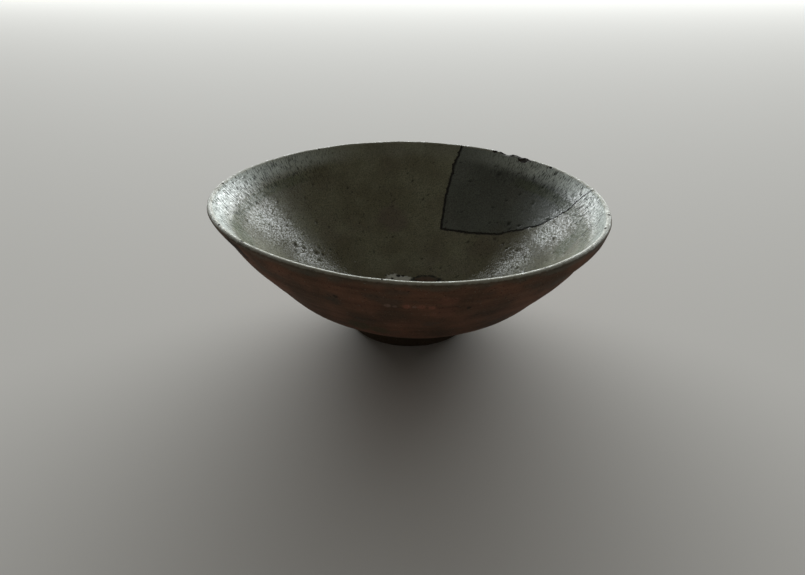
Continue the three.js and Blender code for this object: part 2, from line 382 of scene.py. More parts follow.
def mesh_from(name, points, faces=(), edges=()):
    mesh = bpy.data.meshes.new(name)
    mesh.from_pydata([tuple(p) for p in points], [tuple(e) for e in edges], [tuple(f) for f in faces])
    mesh.update()
    return mesh


def set_values(mesh, name, values):
    """Stores one number or one vector for each point of a mesh, for a tree or a material to read."""
    values = np.asarray(values, np.float32)
    kind, field = ("FLOAT", "value") if values.ndim == 1 else ("FLOAT_VECTOR", "vector")
    attribute = mesh.attributes.get(name) or mesh.attributes.new(name, kind, "POINT")
    attribute.data.foreach_set(field, values.ravel())


def values_of(mesh, name):
    values = np.empty(len(mesh.vertices), np.float32)
    mesh.attributes[name].data.foreach_get("value", values)
    return values.astype(float)


def points_of(mesh):
    flat = np.empty(len(mesh.vertices) * 3, np.float32)
    mesh.vertices.foreach_get("co", flat)
    return flat.reshape(-1, 3).astype(float)


def set_points(mesh, points):
    mesh.vertices.foreach_set("co", np.asarray(points, np.float32).ravel())
    mesh.update()


def remove(*objects):
    """Takes objects away with their meshes."""
    for one in objects:
        bpy.data.meshes.remove(one.data)


print("meshes can be made, read and changed")

# %% [markdown]
# ## Turning the bowl
# On the wheel, the section is swept round once. The tree does the same: the section is a line of points that
# carry their own radius and height, a circle carries the turn, Curve to Mesh joins the two into a skin, and
# Set Position puts each point where its radius, height and turn say. Then come the marks of the making, all
# along the surface's normal: trimming bands, soft lumps, grain, and pits where gas broke through the glaze.

# %% The four finishes, which are painted further down
bowl_glaze, sherd_glaze, broken_clay, old_cement = (
    bpy.data.materials.new(name) for name in ("bowl_glaze", "sherd_glaze", "broken_clay", "old_cement"))
print("finishes:", [material.name for material in bpy.data.materials])

# %% Pits in the glaze
# Azimuth in degrees, share of the way up the inside, and radius: the larger pits that can be seen one by one
SINGLE_PITS = [
    (35.4, 0.551, 1.5 * MM), (53, 0.851, 0.9 * MM), (39.9, 0.76, 1.0 * MM), (168, 0.471, 1.3 * MM),
    (161.2, 0.336, 1.2 * MM), (165, 0.415, 0.9 * MM), (158.5, 0.3, 0.9 * MM), (156, 0.352, 0.8 * MM),
    (171.5, 0.44, 0.8 * MM), (120.5, 0.42, 0.8 * MM),
]
pit_places = np.vstack([turned(azimuth, *inner_at(share)[0]) for azimuth, share, _ in SINGLE_PITS])
single_pits = show(mesh_from("single_pits", pit_places))
set_values(single_pits.data, "pit_radius", [radius for _, _, radius in SINGLE_PITS])
print(len(SINGLE_PITS), "pits are placed by hand")

# %% Noise and named values in a tree


def noise_at(tree, place, size, seed, detail=2.0):
    """Soft noise from -0.5 to 0.5, with lumps of a size: a number, a node's output or a size each way."""
    if isinstance(size, tuple):
        stretched = calculate_vector(tree, "DIVIDE", place, size)
    else:
        per_lump = 1 / size if isinstance(size, float) else calculate(tree, "DIVIDE", 1.0, size)
        stretched = scale_vector(tree, place, per_lump)
    node = add(tree, "ShaderNodeTexNoise", {"Vector": stretched, "W": seed, "Scale": 1.0, "Detail": detail},
               noise_dimensions="4D")
    return calculate(tree, "SUBTRACT", node.outputs[0], 0.5)


def read(tree, name, kind="FLOAT"):
    return add(tree, "GeometryNodeInputNamedAttribute", {"Name": name}, data_type=kind).outputs[0]


def store(tree, geometry, name, value):
    node = add(tree, "GeometryNodeStoreNamedAttribute", {"Geometry": geometry, "Name": name, "Value": value},
               data_type="FLOAT", domain="POINT")
    return node.outputs[0]


print("a tree can ask for noise and for what its points carry")

# %% The sweep


def sweep_section(tree, given):
    """Sweeps the section round a circle, and puts each point at its own radius, height and turn."""
    profile = add(tree, "GeometryNodeMeshToCurve", {0: given["Geometry"]}).outputs[0]
    rail = add(tree, "GeometryNodeCurvePrimitiveCircle", {"Resolution": given["Segments Round"]}).outputs[0]
    step = add(tree, "GeometryNodeSplineParameter").outputs["Index"]
    turn = calculate(tree, "DIVIDE", calculate(tree, "MULTIPLY", step, math.tau), given["Segments Round"])
    rail = store(tree, rail, "turn", turn)
    skin = add(tree, "GeometryNodeCurveToMesh", {"Curve": rail, "Profile Curve": profile}).outputs[0]
    radius, angle = read(tree, "from_axis"), read(tree, "turn")
    across = calculate(tree, "MULTIPLY", radius, calculate(tree, "COSINE", angle))
    along = calculate(tree, "MULTIPLY", radius, calculate(tree, "SINE", angle))
    place = add(tree, "ShaderNodeCombineXYZ", {0: across, 1: along, 2: read(tree, "from_table")}).outputs[0]
    skin = add(tree, "GeometryNodeSetPosition", {"Geometry": skin, "Position": place}).outputs[0]
    skin = add(tree, "GeometryNodeFlipFaces", {0: skin}).outputs[0]
    return add(tree, "GeometryNodeMergeByDistance", {"Geometry": skin, "Distance": 1e-6}).outputs[0]


print("the section can be swept")

# %% Where the glaze is pitted
PIT_SMALLEST, PIT_LARGEST = 0.45 * MM, 1.0 * MM
# Shares of a pit's radius where its wall starts and where its bottom is reached
PIT_RIM, PIT_BOTTOM = 1.15, 0.25


def pit_field(tree, skin, given):
    """How deep in a pit each point is: 0 outside, 1 in the middle, from the nearest scattered pit."""
    inner_wall = calculate(tree, "COMPARE", read(tree, "inside"), 1.0, 0.1)
    scattered = add(tree, "GeometryNodeDistributePointsOnFaces",
                    {"Mesh": skin, "Selection": inner_wall, "Density": given["Pits per Square Metre"],
                     "Seed": given["Seed"]}).outputs[0]
    size = add(tree, "FunctionNodeRandomValue",
               {2: PIT_SMALLEST, 3: PIT_LARGEST, "Seed": given["Seed"]}).outputs[1]
    scattered = store(tree, scattered, "pit_radius", size)
    by_hand = add(tree, "GeometryNodeObjectInfo", {0: given["Single Pits"]}).outputs["Geometry"]
    by_hand = add(tree, "GeometryNodeMeshToPoints", {0: by_hand}).outputs[0]
    join = add(tree, "GeometryNodeJoinGeometry")
    for points in (scattered, by_hand):
        tree.links.new(points, join.inputs[0])
    pits = join.outputs[0]
    here = add(tree, "GeometryNodeInputPosition").outputs[0]
    nearest = add(tree, "GeometryNodeSampleNearest", {"Geometry": pits, "Sample Position": here},
                  domain="POINT").outputs[0]
    centre = add(tree, "GeometryNodeSampleIndex", {0: pits, 1: here, 2: nearest}, data_type="FLOAT_VECTOR")
    radius = add(tree, "GeometryNodeSampleIndex", {0: pits, 1: read(tree, "pit_radius"), 2: nearest},
                 data_type="FLOAT")
    away = add(tree, "ShaderNodeVectorMath", {0: here, 1: centre.outputs[0]}, operation="DISTANCE")
    share = calculate(tree, "DIVIDE", away.outputs["Value"], radius.outputs[0])
    return between(tree, share, PIT_RIM, PIT_BOTTOM)


print("pits are up to", PIT_LARGEST / MM, "mm in radius, besides those placed by hand")

# %% The turning tree
# How far round the bowl a trimming band runs before it changes, and the share of its depth left inside
BAND_RUN, BAND_SHARE_INSIDE = 0.11, 0.35
GRAIN_SIZE = 1.7 * MM
# The relief fades out towards the foot ring, between these heights, so that the bowl stands flat
RELIEF_NONE, RELIEF_FULL = 0.4 * MM, 3 * MM


def make_turning_tree():
    tree, given = start_tree("turn_the_bowl", [
        ("Geometry", "Geometry"), ("Segments Round", "Int"), ("Band Height", "Float"),
        ("Band Depth", "Float"), ("Lump Size", "Float"), ("Lump Depth", "Float"), ("Grain Depth", "Float"),
        ("Pit Depth", "Float"), ("Pits per Square Metre", "Float"), ("Single Pits", "Object"),
        ("Seed", "Int"), ("Finish", "Material"),
    ])
    skin = sweep_section(tree, given)
    here = add(tree, "GeometryNodeInputPosition").outputs[0]
    seed = given["Seed"]
    height = add(tree, "ShaderNodeSeparateXYZ", {0: here}).outputs[2]
    inside = read(tree, "inside")
    band_place = calculate_vector(tree, "DIVIDE", here, add(
        tree, "ShaderNodeCombineXYZ", {0: BAND_RUN, 1: BAND_RUN, 2: given["Band Height"]}).outputs[0])
    bands = noise_at(tree, band_place, 1.0, seed, detail=3.0)
    band_share = between(tree, inside, 0, 1, 1.0, BAND_SHARE_INSIDE)
    band_depth = calculate(tree, "MULTIPLY", given["Band Depth"], band_share)
    lumps = noise_at(tree, here, given["Lump Size"], seed, detail=1.0)
    grain = noise_at(tree, here, GRAIN_SIZE, seed, detail=1.0)
    relief = calculate(tree, "MULTIPLY", bands, band_depth)
    relief = calculate(tree, "MULTIPLY_ADD", lumps, given["Lump Depth"], relief)
    relief = calculate(tree, "MULTIPLY_ADD", grain, given["Grain Depth"], relief)
    standing = between(tree, height, RELIEF_NONE, RELIEF_FULL)
    pit = pit_field(tree, skin, given)
    relief = calculate(tree, "SUBTRACT", calculate(tree, "MULTIPLY", relief, standing),
                       calculate(tree, "MULTIPLY", pit, given["Pit Depth"]))
    skin = store(tree, skin, "pit", pit)
    normal = add(tree, "GeometryNodeInputNormal").outputs[0]
    skin = add(tree, "GeometryNodeSetPosition",
               {"Geometry": skin, "Offset": scale_vector(tree, normal, relief)}).outputs[0]
    skin = add(tree, "GeometryNodeSetShadeSmooth", {"Geometry": skin}).outputs[0]
    end_tree(tree, skin, given["Finish"])
    return tree


turning_tree = make_turning_tree()
print("the turning tree has", len(turning_tree.nodes), "nodes")

# %% The section becomes a bowl


def section_object(name, line, inside, run):
    edges = [(i, i + 1) for i in range(len(line) - 1)]
    made = show(mesh_from(name, np.stack([line[:, 0], 0 * line[:, 0], line[:, 1]], -1), edges=edges))
    set_values(made.data, "from_axis", line[:, 0])
    set_values(made.data, "from_table", line[:, 1])
    set_values(made.data, "inside", inside)
    set_values(made.data, "along", run)
    return made


# The skin lies this far below the faces of the solids, so that its relief stays within them
SKIN_DEPTH = 0.12 * MM


def turn_bowl(name, segments, sunk=0.0, **marks):
    """Turns the section, sinks its skin by a little, fires it and moves it into the frame."""
    base = section_object("section", section, is_inside, section_run)
    marks = {"band_height": 4 * MM, "lump_size": 16 * MM, "single_pits": single_pits, "seed": 7,
             "finish": bowl_glaze, **marks}
    bowl = run_tree(turning_tree, base, name, segments_round=segments, **marks)
    remove(base)
    mesh = bowl.data
    points = points_of(mesh)
    normals = np.array([v.normal for v in mesh.vertices])
    standing = np.clip(points[:, 2] / MM, 0, 1)[:, None]
    set_points(mesh, fire(points - normals * (sunk + SKIN_DEPTH) * standing) + to_frame)
    return bowl


MARKS = {"band_depth": 0.34 * MM, "lump_depth": 0.5 * MM, "grain_depth": 0.09 * MM, "pit_depth": 0.38 * MM,
         "pits_per_square_metre": 9000.0}
SEGMENTS_ROUND = 460
whole_bowl = turn_bowl("whole_bowl", SEGMENTS_ROUND, **MARKS)
low, high = spread_of(points_of(whole_bowl.data))
print("turned", len(whole_bowl.data.vertices), "points, from", low.round(4), "to", high.round(4))

# %% [markdown]
# ## Scars of the stacking
# In the kiln another pot stood in this one, on a ring of gritty clay pads. Two of the pads left marks that
# can be seen. One left a white crust with holes in it. The other pulled the glaze off and left a brown scar
# with a dark raised edge. Both are made by lifting and sinking the floor's own points.

# %% Where the crust and the scar are
# Middle, half width and half depth on the floor of the well
CRUST = ((-5.5 * MM, 15.2 * MM), 6.6 * MM, 3.6 * MM)
SCAR = ((8.2 * MM, 14.2 * MM), 6.6 * MM, 4.2 * MM)
CRUST_HOLES = [((-5.6 * MM, 17.4 * MM), 1.3 * MM), ((-3.4 * MM, 17.6 * MM), 1.0 * MM),
               ((-8.6 * MM, 14.6 * MM), 0.8 * MM)]
CRUST_RISES, SCAR_SINKS, SCAR_RIM_RISES = 0.45 * MM, 0.25 * MM, 0.4 * MM
PATCH_LUMPS, PATCH_GRIT, HOLE_GRIT, FINE_GRIT = 3.2 * MM, 1.1 * MM, 0.8 * MM, 0.7 * MM
CRUST_RAGGED, SCAR_RAGGED, HOLE_RAGGED = 0.45, 0.3, 0.25
# Shares of a patch's radius between which it, its edge or its rim fades
CRUST_FADES, HOLE_FADES, DARK_FADES = (0.75, 1.05), (0.6, 1.1), (0.6, 1.0)
SCAR_FADES, SCAR_RIM_STARTS, SCAR_RIM_FADES = (0.72, 0.86), (0.7, 0.88), (1.0, 1.22)


def fade(values, low, high):
    """From 0 to 1 as the values go from low to high, with soft ends."""
    t = np.clip((values - low) / (high - low), 0, 1)
    return t * t * (3 - 2 * t)


def noise_of(points, size, seed):
    """Soft noise from about -1 to 1 for each point."""
    return np.array([noise.noise(Vector(p / size) + Vector((seed, 0, 0))) for p in points])


def patch_share(points, patch, ragged_by, seed):
    """0 in the middle of a patch and 1 on its ragged edge."""
    (x, y), half_width, half_depth = patch
    away = np.hypot((points[:, 0] - x) / half_width, (points[:, 1] - y) / half_depth)
    lumps, grit = noise_of(points, PATCH_LUMPS, seed), noise_of(points, PATCH_GRIT, seed + 3)
    return away + ragged_by * (lumps + 0.5 * grit)


print("the crust is", round(2000 * CRUST[1], 1), "mm wide and the scar", round(2000 * SCAR[1], 1), "mm")

# %% The crust rises and the scar sinks
points = points_of(whole_bowl.data)
on_floor = values_of(whole_bowl.data, "inside") > 0.5
on_floor &= np.hypot(points[:, 0], points[:, 1]) < STACKED_OUTSIDE
floor_points = points[on_floor]
crust = 1 - fade(patch_share(floor_points, CRUST, CRUST_RAGGED, 3), *CRUST_FADES)
dark_holes = np.zeros(len(floor_points))
for (x, y), radius in CRUST_HOLES:
    away = np.hypot(floor_points[:, 0] - x, floor_points[:, 1] - y) / radius
    away += HOLE_RAGGED * noise_of(floor_points, HOLE_GRIT, 9)
    crust *= fade(away, *HOLE_FADES)
    dark_holes = np.maximum(dark_holes, 1 - fade(away, *DARK_FADES))
scar_share = patch_share(floor_points, SCAR, SCAR_RAGGED, 12)
scar = 1 - fade(scar_share, *SCAR_FADES)
scar_edge = fade(scar_share, *SCAR_RIM_STARTS) * (1 - fade(scar_share, *SCAR_RIM_FADES))
grit = 0.6 + 0.5 * noise_of(floor_points, FINE_GRIT, 20)
rise = CRUST_RISES * crust * grit - SCAR_SINKS * scar + SCAR_RIM_RISES * scar_edge * grit
points[on_floor, 2] += rise
set_points(whole_bowl.data, points)
# The holes in the crust are as dark as the scar's edge, so they share its mask
for name, mask in (("crust", crust), ("scar", scar), ("scar_edge", np.maximum(scar_edge, dark_holes))):
    values = np.zeros(len(points))
    values[on_floor] = mask
    set_values(whole_bowl.data, name, values)
print("the floor rises and sinks by", rise.min().round(5), "to", rise.max().round(5))

# %% [markdown]
# ## The break
# The bowl broke along a line that runs down the wall from the lip, turns a sharp corner and climbs back to
# the lip. Fired clay breaks squarely through its wall, so the break's faces all point at one spot high above
# the bowl. The line is drawn on the inside of the wall through a few stations, then made ragged with noise. A
# fan of faces from the high spot through the line, far past the wall, is then the knife that parts the sherd.

# %% The line of the break
# Azimuth in degrees and share of the way up the inside, down to the corner and then along and up again
LEFT_EDGE = np.array([(70.6, 1), (72.1, 0.81), (72.5, 0.58), (70.8, 0.358)])
LOWER_EDGE = np.array([(70.8, 0.358), (65, 0.36), (53, 0.38), (44, 0.415), (37.4, 0.452), (31.3, 0.507),
                       (26.8, 0.55), (23, 0.6), (19.5, 0.65), (16.5, 0.71), (14.2, 0.773), (12.3, 0.842),
                       (11.4, 0.923), (9.4, 1)])
BREAK_FOCUS_ABOVE_LIP = 45 * MM
# How wide the gap is, from the left end of the line to the right
GAP_WIDTHS = [(0, 1.0 * MM), (0.2, 1.05 * MM), (0.33, 1.15 * MM), (0.5, 1.0 * MM), (0.66, 0.8 * MM),
              (0.82, 0.6 * MM), (1, 0.45 * MM)]
RAGGED_STEP = 0.55 * MM
# How far the whole line wanders and each of its edges by itself, and the sizes of those waves
RAGGED_REACH, EDGE_REACH = 0.3 * MM, 0.12 * MM
WIDE_WAVES, SHORT_WAVES, EDGE_WAVES = 5 * MM, 1.6 * MM, 1.1 * MM
# At each end, this many steps of the line give its direction and stay free of flakes
END_STEPS = 6
LEFT_SAMPLES, LOWER_SAMPLES = 300, 900


def on_wall(azimuth, share, side=inner_at):
    """Points on the fired wall, in the frame. The side is inner_at or outer_at."""
    return fire(turned(azimuth, *side(share).T)) + to_frame


def break_centre():
    curves = smooth_through(LEFT_EDGE, LEFT_SAMPLES), smooth_through(LOWER_EDGE, LOWER_SAMPLES)
    left, lower = (spaced(on_wall(*curve.T), RAGGED_STEP) for curve in curves)
    return np.vstack([left, lower[1:]])


def ragged(run, size, seed):
    """A wandering line from about -1 to 1, with waves of about the given size."""
    return np.array([2 * noise.noise(Vector((r / size, seed, 0.5))) for r in run])


focus = np.array([to_frame[0], to_frame[1], BOWL_HEIGHT + BREAK_FOCUS_ABOVE_LIP])
centre_line = break_centre()
line_run = run_along(centre_line)
line_share = line_run / line_run[-1]
half_gap = np.interp(line_share, *np.array(GAP_WIDTHS).T) / 2
ahead = np.gradient(centre_line, axis=0)
sideways = np.cross(ahead, focus - centre_line)
sideways /= np.linalg.norm(sideways, axis=1, keepdims=True)
print("the break is", round(line_run[-1] * 1000), "mm long, in", len(centre_line), "steps")

# %% The two edges of the break
wander = RAGGED_REACH * (ragged(line_run, WIDE_WAVES, 1) + 0.6 * ragged(line_run, SHORT_WAVES, 2))


def edge_line(side, shrink=0.0):
    """The break's edge on one side of the gap: 1 is the bowl's and -1 is the sherd's."""
    own = EDGE_REACH * ragged(line_run, EDGE_WAVES, 5 + side)
    return centre_line + sideways * (wander + side * (half_gap - shrink) + own)[:, None]


def carried_on(line, overrun=30 * MM):
    """The line with both ends carried on past the lip, so that a cut along it is complete."""
    ends = [(line[0], line[END_STEPS]), (line[-1], line[-1 - END_STEPS])]
    first, last = (end + (end - before) / np.linalg.norm(end - before) * overrun for end, before in ends)
    return np.vstack([first, line, last])


def knife(name, line, reach=2.6):
    """The space from the focus out through a line on the wall and on past the bowl."""
    rim = focus + (carried_on(line) - focus) * reach
    count = len(rim)
    points = np.vstack([focus, rim.mean(axis=0), rim])
    following = [(i + 1) % count + 2 for i in range(count)]
    faces = [(0, i + 2, after) for i, after in enumerate(following)]
    faces += [(1, after, i + 2) for i, after in enumerate(following)]
    made = show(mesh_from(name, points, faces))
    made.data.materials.append(broken_clay)
    return made


def combine(base, other, operation, name):
    """Cuts a closed mesh with another, or keeps what they share. Cut faces take the other's material."""
    modifier = base.modifiers.new("combine", "BOOLEAN")
    modifier.operation = operation
    modifier.solver = "MANIFOLD"
    modifier.material_mode = "TRANSFER"
    modifier.object = other
    mesh = mesh_made_by(base)
    remove(base)
    mesh.name = name
    return show(mesh)


bowl_knife = knife("bowl_knife", edge_line(1))
sherd_knife = knife("sherd_knife", edge_line(-1))
print("each knife has", len(bowl_knife.data.polygons), "faces")

# %% [markdown]
# ## Chips
# A broken edge never stays sharp. Small flakes spring off the glaze along both sides of the break, the lip
# has nicks, and the sherd's lip lost a row of larger bites. Each chip is a shallow round bite, so each is cut
# by a ball sunk a little into the surface. Geometry Nodes scatter the small ones along the break.

# %% Flakes along the break
FLAKES = {"count": 52, "share_kept": 0.35, "smallest": 0.35 * MM, "largest": 0.65 * MM}
FLAKE_LIFT = 0.25 * MM
FLAKE_LUMP_SIZE, FLAKE_LUMP_DEPTH = 0.8 * MM, 0.25 * MM


def make_flake_tree():
    tree, given = start_tree("scatter_flakes", [
        ("Geometry", "Geometry"), ("Count", "Int"), ("Share Kept", "Float"), ("Smallest", "Float"),
        ("Largest", "Float"), ("Seed", "Int"), ("Finish", "Material"),
    ])
    line = add(tree, "GeometryNodeMeshToCurve", {0: given["Geometry"]}).outputs[0]
    line = add(tree, "GeometryNodeResampleCurve", {"Curve": line, "Count": given["Count"]}).outputs[0]
    points = add(tree, "GeometryNodeCurveToPoints", {0: line}, mode="EVALUATED").outputs[0]
    kept = add(tree, "FunctionNodeRandomValue", {"Probability": given["Share Kept"], "Seed": given["Seed"]},
               data_type="BOOLEAN").outputs[3]
    ball = add(tree, "GeometryNodeMeshIcoSphere", {"Radius": 1.0, "Subdivisions": 3}).outputs[0]
    size = add(tree, "FunctionNodeRandomValue", {2: given["Smallest"], 3: given["Largest"],
                                                 "Seed": calculate(tree, "ADD", given["Seed"], 1)}).outputs[1]
    turn = add(tree, "FunctionNodeRandomValue", {0: (0, 0, 0), 1: (math.tau, math.tau, math.tau),
                                                 "Seed": calculate(tree, "ADD", given["Seed"], 2)},
               data_type="FLOAT_VECTOR").outputs[0]
    flakes = add(tree, "GeometryNodeInstanceOnPoints", {"Points": points, "Selection": kept, "Instance": ball,
                                                        "Rotation": turn, "Scale": size}).outputs[0]
    end_tree(tree, flakes, given["Finish"])
    return tree


def roughen(obj, size, depth, seed):
    """Moves each point of a mesh along its normal by soft noise."""
    points = points_of(obj.data)
    normals = np.array([v.normal for v in obj.data.vertices])
    set_points(obj.data, points + normals * (noise_of(points, size, seed) * depth)[:, None])


def scatter_flakes(side, seed):
    """Balls along one edge of the break, their middles lifted off the wall so that they bite shallowly."""
    line = edge_line(side)[END_STEPS:-END_STEPS]
    line = line + (focus - line) / np.linalg.norm(focus - line, axis=1)[:, None] * FLAKE_LIFT
    base = show(mesh_from("edge", line, edges=[(i, i + 1) for i in range(len(line) - 1)]))
    flakes = run_tree(flake_tree, base, "flakes", seed=seed, finish=broken_clay, **FLAKES)
    remove(base)
    roughen(flakes, FLAKE_LUMP_SIZE, FLAKE_LUMP_DEPTH, seed)
    return flakes


flake_tree = make_flake_tree()
bowl_flakes = scatter_flakes(1, 11)
sherd_flakes = scatter_flakes(-1, 23)
print("flakes of", len(bowl_flakes.data.vertices), "and", len(sherd_flakes.data.vertices), "points")

# %% Bites and nicks in the lip
# Azimuth in degrees, length along the lip, depth below its top, and how far the bite leans to the inside
SHERD_BITES = [(53.2, 8.5 * MM, 1.4 * MM, 0), (47.6, 6.5 * MM, 1.0 * MM, 0), (44, 5 * MM, 1.2 * MM, 0),
               (46.0, 7.5 * MM, 1.35 * MM, 34), (51.0, 5 * MM, 0.9 * MM, 25), (57.6, 3 * MM, 0.5 * MM, 30),
               (34, 2.4 * MM, 0.4 * MM, 35)]
LIP_NICKS = [(210, 1.9 * MM, 0.45 * MM, 0), (222.5, 2.4 * MM, 0.5 * MM, 20), (346, 1.6 * MM, 0.4 * MM, 0),
             (335, 1.8 * MM, 0.35 * MM, 30), (262, 1.2 * MM, 0.25 * MM, 0), (301, 1.5 * MM, 0.25 * MM, 0),
             (128, 1.6 * MM, 0.3 * MM, 30), (95, 1.3 * MM, 0.3 * MM, 0), (176, 1.7 * MM, 0.35 * MM, 20)]


def bite(azimuth, length, depth, leaning):
    """A ragged ball that bites that deep and that long into the lip, from above or from the inside."""
    up = upward_at(np.array([1.0]))[0]
    middle = outer_at(1.0)[0] + np.array([-up[1], up[0]]) * LIP_THICKNESS / 2
    middle = fire(turned(azimuth, *middle)[None])[0] + to_frame
    lean, turn = np.radians(leaning), np.radians(azimuth)
    out = np.array([-np.sin(lean) * np.cos(turn), -np.sin(lean) * np.sin(turn), np.cos(lean)])
    radius = (length ** 2 / 4 + depth ** 2) / (2 * depth)
    mesh = bpy.data.meshes.new("bite")
    ball = bmesh.new()
    bmesh.ops.create_icosphere(ball, subdivisions=5, radius=radius)
    ball.to_mesh(mesh)
    ball.free()
    set_points(mesh, points_of(mesh) + middle + out * (LIP_THICKNESS / 2 + radius - depth))
    mesh.materials.append(broken_clay)
    made = show(mesh)
    roughen(made, length / 5, depth / 4, azimuth)
    return made


def cut_all(base, cutters, name):
    for cutter in cutters:
        base = combine(base, cutter, "DIFFERENCE", name)
        remove(cutter)
    return base


# %% The bowl and the sherd, parted and chipped
KEPT_VALUES = ("along", "pit", "crust", "scar", "scar_edge")
whole_points = points_of(whole_bowl.data)
whole_values = {name: values_of(whole_bowl.data, name) for name in KEPT_VALUES}
sherd_blank = show(whole_bowl.data.copy())
sherd_blank.data.materials[0] = sherd_glaze
bowl_body = combine(whole_bowl, bowl_knife, "DIFFERENCE", "cracked_bowl_body")
bowl_body = cut_all(bowl_body, [bowl_flakes] + [bite(*nick) for nick in LIP_NICKS], "cracked_bowl_body")
sherd = combine(sherd_blank, sherd_knife, "INTERSECT", "mended_sherd")
sherd = cut_all(sherd, [sherd_flakes] + [bite(*one) for one in SHERD_BITES], "mended_sherd")
remove(bowl_knife, sherd_knife)
print("the bowl keeps", len(bowl_body.data.polygons), "faces and the sherd", len(sherd.data.polygons))

# %% [markdown]
# ## The cement
# The cement was pressed into the gap and wiped off, so it lies a little below the glaze on both sides.
# It is cut from a bowl whose skin is sunk by that much, with two knives a hair inside the edges of the gap.

# %% The line of cement
CEMENT_SEAM = 0.03 * MM
CEMENT_SUNK = 0.22 * MM
CEMENT_SEGMENTS = 300
CEMENT_MARKS = {**MARKS, "pit_depth": 0.0, "finish": old_cement}
cement = turn_bowl("cement_blank", CEMENT_SEGMENTS, sunk=CEMENT_SUNK, **CEMENT_MARKS)
for side, operation in ((1, "INTERSECT"), (-1, "DIFFERENCE")):
    cutter = knife("cement_cut", edge_line(side, CEMENT_SEAM))
    cutter.data.materials[0] = old_cement
    cement = combine(cement, cutter, operation, "cement_line")
    remove(cutter)
print("the cement has", len(cement.data.polygons), "faces")

# %% [markdown]
# ## What each point knows about its place
# A finish that follows the pot needs to know where on the wall it is: how far from the lip, how deep in a
# pit, how near the break. The cuts made new points, so each finished piece asks the turned bowl's nearest
# point. The place on the wall is stored as a place on a cylinder, which has no seam, so that a streak can run
# down the wall.

# %% Places on the wall
WALL_RADIUS = 70 * MM
LIP_RUN = section_run[np.argmax(section[:, 1])]
surface = KDTree(len(whole_points))
for index, point in enumerate(whole_points):
    surface.insert(point, index)
surface.balance()
break_rays = KDTree(len(centre_line))
for index, ray in enumerate(centre_line - focus):
    break_rays.insert(ray / np.linalg.norm(ray), index)
break_rays.balance()


def tell_surface(piece):
    """Stores for each point of a piece what its finish has to know."""
    points = points_of(piece.data)
    nearest = np.array([surface.find(p)[1] for p in points])
    for name in KEPT_VALUES:
        set_values(piece.data, name, whole_values[name][nearest])
    along = whole_values["along"][nearest]
    azimuth = np.arctan2(points[:, 1] - to_frame[1], points[:, 0] - to_frame[0])
    set_values(piece.data, "wall_place", turned(np.degrees(azimuth), WALL_RADIUS, along))
    set_values(piece.data, "past_lip", along - LIP_RUN)
    rays = points - focus
    reach = np.linalg.norm(rays, axis=1)
    aside = np.array([break_rays.find(ray)[2] for ray in rays / reach[:, None]])
    set_values(piece.data, "from_break", aside * reach)


for piece in (bowl_body, sherd, cement):
    tell_surface(piece)
print("the lip is", round(LIP_RUN * 1000, 1), "mm along the section")

# %% [markdown]
# ## Effects that the finishes share
# A potter's surface is made of a few effects that come back in every finish: soft mottling, specks or
# streaks, a mark at one place, a worn or dirty band along an edge, and grain. Each is a node group with named
# inputs, built once and set to its own values wherever it is used.

# %% Helpers for finishes


def use(tree, group, **values):
    """Places a group in a material with its own values, and gives its first output."""
    titles = {title.name.lower().replace(" ", "_"): title.name for title in group.interface.items_tree}
    inputs = {titles[key]: value for key, value in values.items()}
    return add(tree, "ShaderNodeGroup", inputs, node_tree=group).outputs[0]


def blend(tree, first, second, mask):
    """One colour over another by a mask."""
    return add(tree, "ShaderNodeMix", {0: mask, 6: first, 7: second}, data_type="RGBA").outputs[2]


def attribute(tree, name, output="Fac"):
    return add(tree, "ShaderNodeAttribute", attribute_name=name).outputs[output]


def times(tree, *values):
    result = values[0]
    for value in values[1:]:
        result = calculate(tree, "MULTIPLY", result, value)
    return result


print("helpers for finishes are ready")

# %% Mottle and specks
# Half the range of noise over which one colour turns into the other
MOTTLE_SOFTNESS = 0.16


def make_mottle():
    tree, given = start_tree("mottle", [
        ("Place", "Vector"), ("Size", "Float"), ("Seed", "Float"), ("First", "Color"), ("Second", "Color"),
    ], ("Color", "Color"), "ShaderNodeTree")
    cloud = noise_at(tree, given["Place"], given["Size"], given["Seed"], detail=3.0)
    share = between(tree, cloud, -MOTTLE_SOFTNESS, MOTTLE_SOFTNESS)
    add(tree, "NodeGroupOutput", {0: blend(tree, given["First"], given["Second"], share)})
    return tree


def make_specks():
    """Specks, or streaks where the length is more than the width. A higher threshold leaves fewer."""
    tree, given = start_tree("specks", [
        ("Place", "Vector"), ("Width", "Float"), ("Length", "Float"), ("Threshold", "Float"),
        ("Softness", "Float"), ("Seed", "Float"),
    ], ("Mask", "Float"), "ShaderNodeTree")
    width, length = given["Width"], given["Length"]
    size = add(tree, "ShaderNodeCombineXYZ", {0: width, 1: width, 2: length}).outputs[0]
    cloud = noise_at(tree, calculate_vector(tree, "DIVIDE", given["Place"], size), 1.0, given["Seed"])
    high = calculate(tree, "ADD", given["Threshold"], given["Softness"])
    add(tree, "NodeGroupOutput", {0: between(tree, cloud, given["Threshold"], high)})
    return tree


mottle, specks = make_mottle(), make_specks()
print(mottle.name, "and", specks.name, "are ready")

# %% Marks, edges and grain
LUMPS_PER_MARK_RADIUS = 1.6
# A mark is full up to this share of its radius, and a band up to this share of its reach
MARK_FULL, BAND_FULL = 0.5, 0.4


